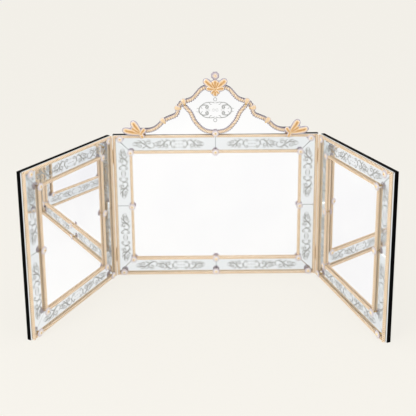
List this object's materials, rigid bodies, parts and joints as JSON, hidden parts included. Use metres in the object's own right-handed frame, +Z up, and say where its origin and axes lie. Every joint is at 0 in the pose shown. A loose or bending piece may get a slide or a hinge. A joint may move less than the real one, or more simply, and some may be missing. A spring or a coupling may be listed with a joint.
{
  "type": "triptych mirror",
  "caption": "Venetian glass mirror in three panels with twisted amber rods, engraved borders, rosettes and a shaped crest; the side wings swing on upright hinges.",
  "frame": {"origin": "middle of the centre board's bottom face, where it stands", "axes": "+Z up, front of the centre panel towards -Y, +X to the viewer's right"},
  "size_m": [1.3088, 0.5412, 0.9083],
  "materials": {
    "mirror": "silvered flat glass, polished",
    "engraved_mirror": "silvered flat glass with a frosted engraving",
    "amber_glass": "twisted amber and clear soda glass",
    "clear_glass": "pressed clear glass with a gold tint",
    "black_wood": "black satin paint on board",
    "raw_wood": "planed softwood",
    "brass": "bright brass",
    "steel": "zinc-plated steel"
  },
  "bodies": {
    "centre_panel": {"back_screws": "steel", "cartouche_mirror": "mirror", "cartouche_rods": "amber_glass", "centre_backboard": "black_wood", "centre_bottom_rods": "amber_glass", "centre_bottom_strips": "engraved_mirror", "centre_left_rods": "amber_glass", "centre_left_strips": "engraved_mirror", "centre_mirror": "mirror", "centre_right_rods": "amber_glass", "centre_right_strips": "engraved_mirror", "centre_rosette_screws": "brass", "centre_rosettes": "clear_glass", "centre_top_rods": "amber_glass", "centre_top_strips": "engraved_mirror", "crest_backboard": "black_wood", "crest_batten_left": "raw_wood", "crest_batten_right": "raw_wood", "crest_curled_leaves": "amber_glass", "crest_left_leaf": "amber_glass", "crest_left_mirror": "mirror", "crest_left_rod": "amber_glass", "crest_right_leaf": "amber_glass", "crest_right_mirror": "mirror", "crest_right_rod": "amber_glass", "crest_screws": "brass", "finial_flower": "clear_glass", "finial_leaves": "amber_glass", "hanging_plates": "steel", "hinge_centre_leaves": "brass", "hinge_centre_screws": "brass", "hinge_pins": "brass"},
    "left_wing": {"left_wing_backboard": "black_wood", "left_wing_bottom_rods": "amber_glass", "left_wing_bottom_strip": "engraved_mirror", "left_wing_hinge_leaves": "brass", "left_wing_hinge_rods": "amber_glass", "left_wing_hinge_screws": "brass", "left_wing_hinge_strips": "engraved_mirror", "left_wing_mirror": "mirror", "left_wing_outer_rods": "amber_glass", "left_wing_outer_strips": "engraved_mirror", "left_wing_rosette_screws": "brass", "left_wing_rosettes": "clear_glass", "left_wing_top_rods": "amber_glass", "left_wing_top_strip": "engraved_mirror"},
    "right_wing": {"right_wing_backboard": "black_wood", "right_wing_bottom_rods": "amber_glass", "right_wing_bottom_strip": "engraved_mirror", "right_wing_hinge_leaves": "brass", "right_wing_hinge_rods": "amber_glass", "right_wing_hinge_screws": "brass", "right_wing_hinge_strips": "engraved_mirror", "right_wing_mirror": "mirror", "right_wing_outer_rods": "amber_glass", "right_wing_outer_strips": "engraved_mirror", "right_wing_rosette_screws": "brass", "right_wing_rosettes": "clear_glass", "right_wing_top_rods": "amber_glass", "right_wing_top_strip": "engraved_mirror"}
  },
  "joints": [
    {"name": "left_wing_hinge", "type": "hinge", "parent": "centre_panel", "child": "left_wing", "pos_m": [-0.4385, -0.0187, 0.318], "axis": [0, 0, 1], "range_deg": [-63.6, 21.4]},
    {"name": "right_wing_hinge", "type": "hinge", "parent": "centre_panel", "child": "right_wing", "pos_m": [0.4385, -0.0187, 0.318], "axis": [0, 0, -1], "range_deg": [-73, 12]}
  ]
}
